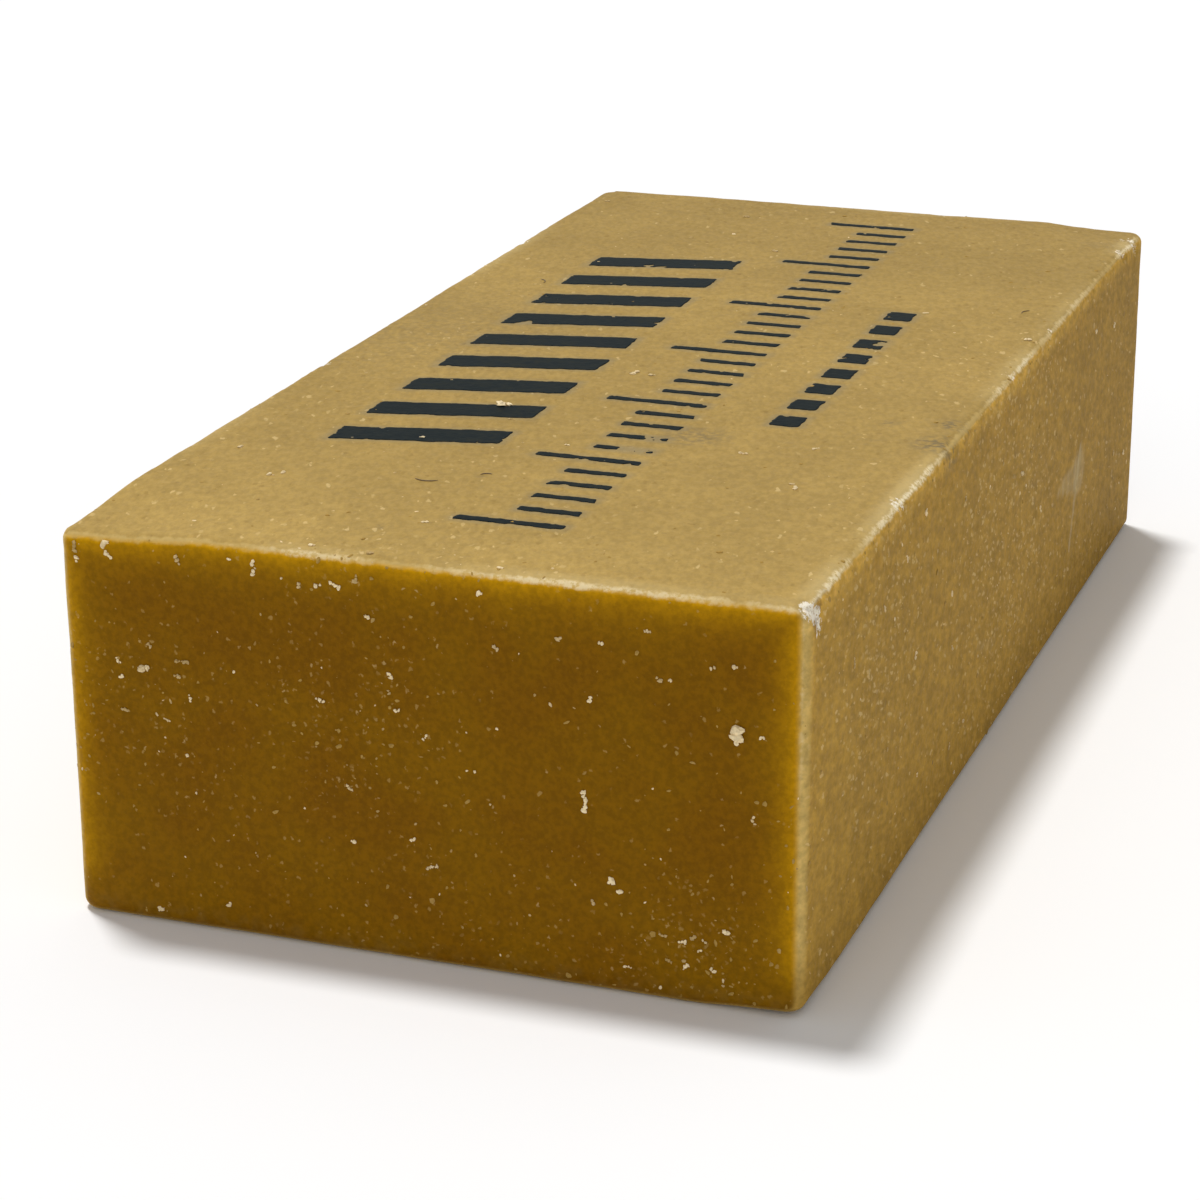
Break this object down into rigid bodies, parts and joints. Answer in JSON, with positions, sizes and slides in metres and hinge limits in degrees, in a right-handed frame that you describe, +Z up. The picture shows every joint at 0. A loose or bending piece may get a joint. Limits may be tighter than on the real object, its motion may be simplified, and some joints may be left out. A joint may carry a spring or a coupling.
{
  "type": "gum eraser",
  "caption": "Rectangular block of crumbly amber gum with rounded edges, rubbed on paper to lift marks and dust.",
  "frame": {"origin": "centre of the underside of the block", "axes": "+Z up out of the printed broad face, +Y along the length, +X across the width"},
  "size_m": [0.035, 0.073, 0.019],
  "materials": {
    "gum": "matt, faintly waxy, slightly translucent amber gum with pale crumbs on it",
    "print_ink": "flat blue-black stamped ink, partly rubbed away"
  },
  "bodies": {
    "root": {"eraser_block": "gum"}
  },
  "joints": []
}
